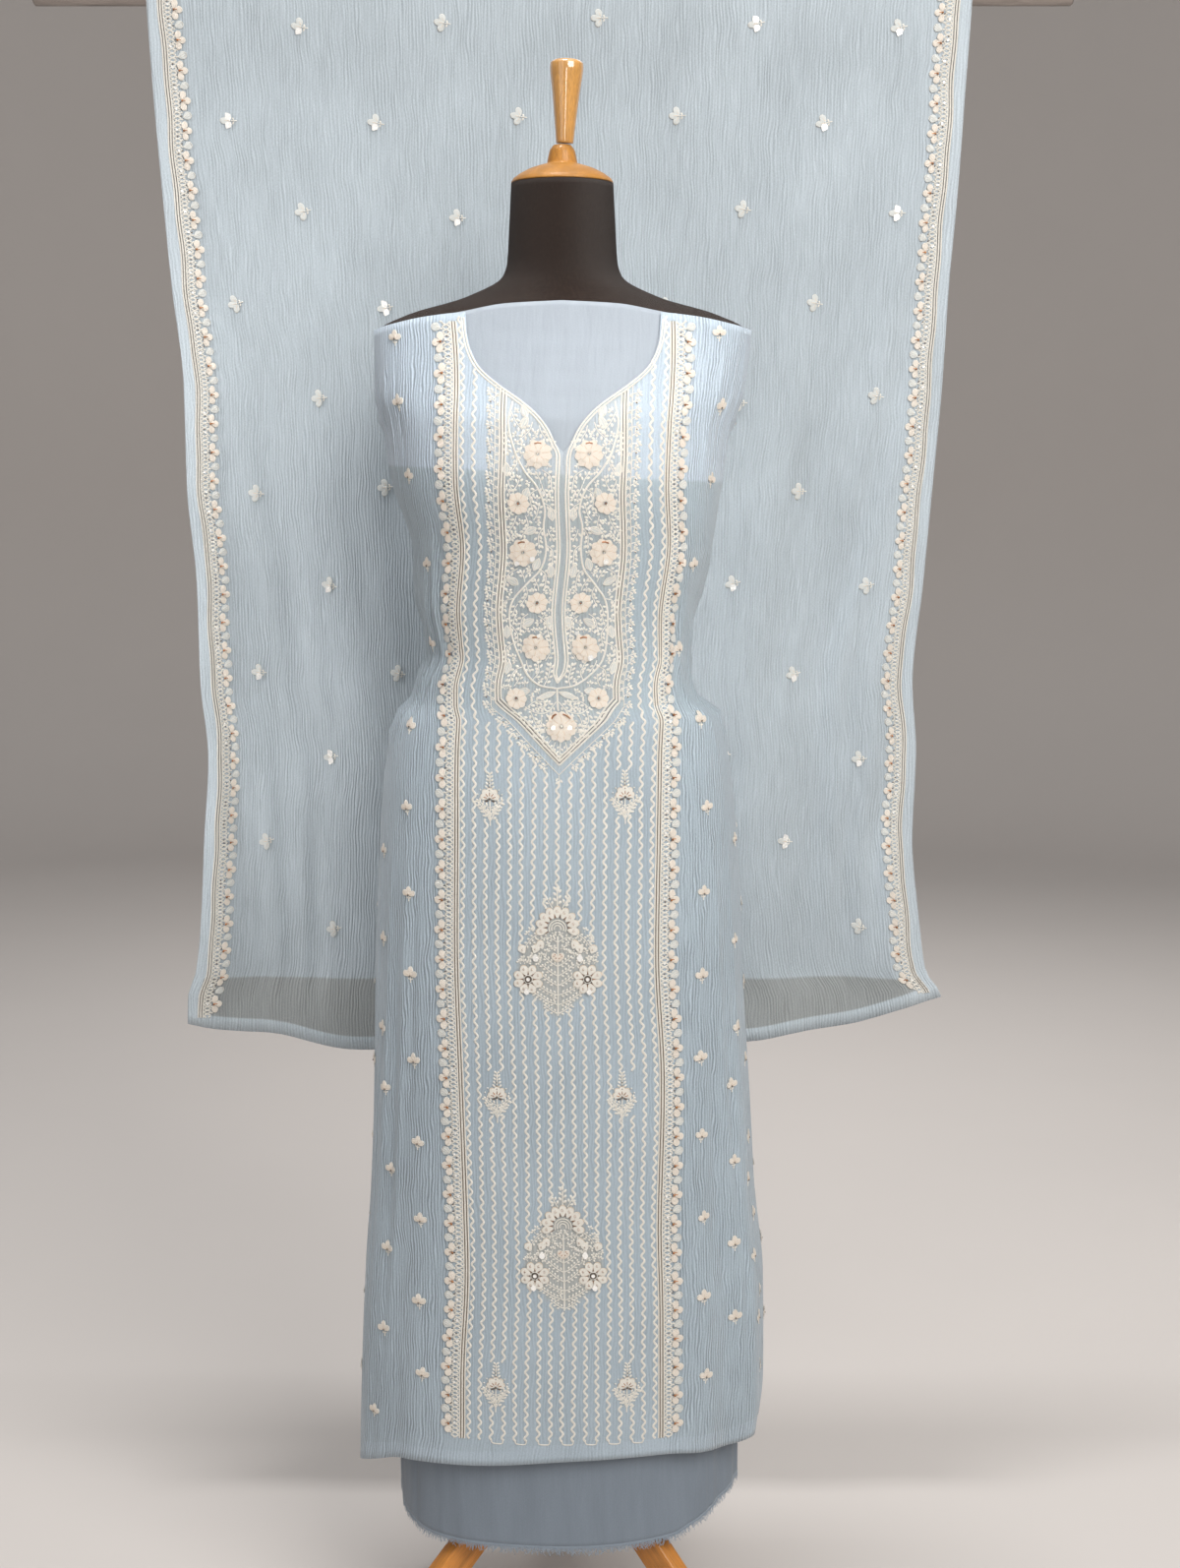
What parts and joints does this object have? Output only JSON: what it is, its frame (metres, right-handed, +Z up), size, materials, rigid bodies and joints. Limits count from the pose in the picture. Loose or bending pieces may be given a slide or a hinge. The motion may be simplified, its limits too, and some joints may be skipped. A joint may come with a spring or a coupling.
{
  "type": "salwar kameez suit on a dress form",
  "caption": "Embroidered salwar kameez suit: long panel with lined yoke and slit neck wrapped over a plain cloth on a limbless dress form with a tripod, its dupatta folded over a rail behind.",
  "frame": {"origin": "middle of the floor under the whole set, at the height of the tripod's feet", "axes": "+Z up, -Y the way the suit's front faces, +X the viewer's right when facing its front"},
  "size_m": [1.152, 0.4204, 1.798],
  "materials": {
    "chiffon": "matte",
    "lining": "satin",
    "plain_cloth": "matte",
    "stole_chiffon": "matte",
    "jersey": "matte",
    "turned_wood": "satin",
    "leg_wood": "satin",
    "steel": "satin"
  },
  "bodies": {
    "root": {"kameez_panel": "chiffon", "lining_yoke": "lining", "bottom_cloth": "plain_cloth", "dupatta": "stole_chiffon", "form_torso": "jersey", "neck_cap": "turned_wood", "finial": "turned_wood", "form_pole": "leg_wood", "tripod_hub": "leg_wood", "leg_front_left": "leg_wood", "leg_front_right": "leg_wood", "leg_back": "leg_wood", "rail": "steel"}
  },
  "joints": []
}
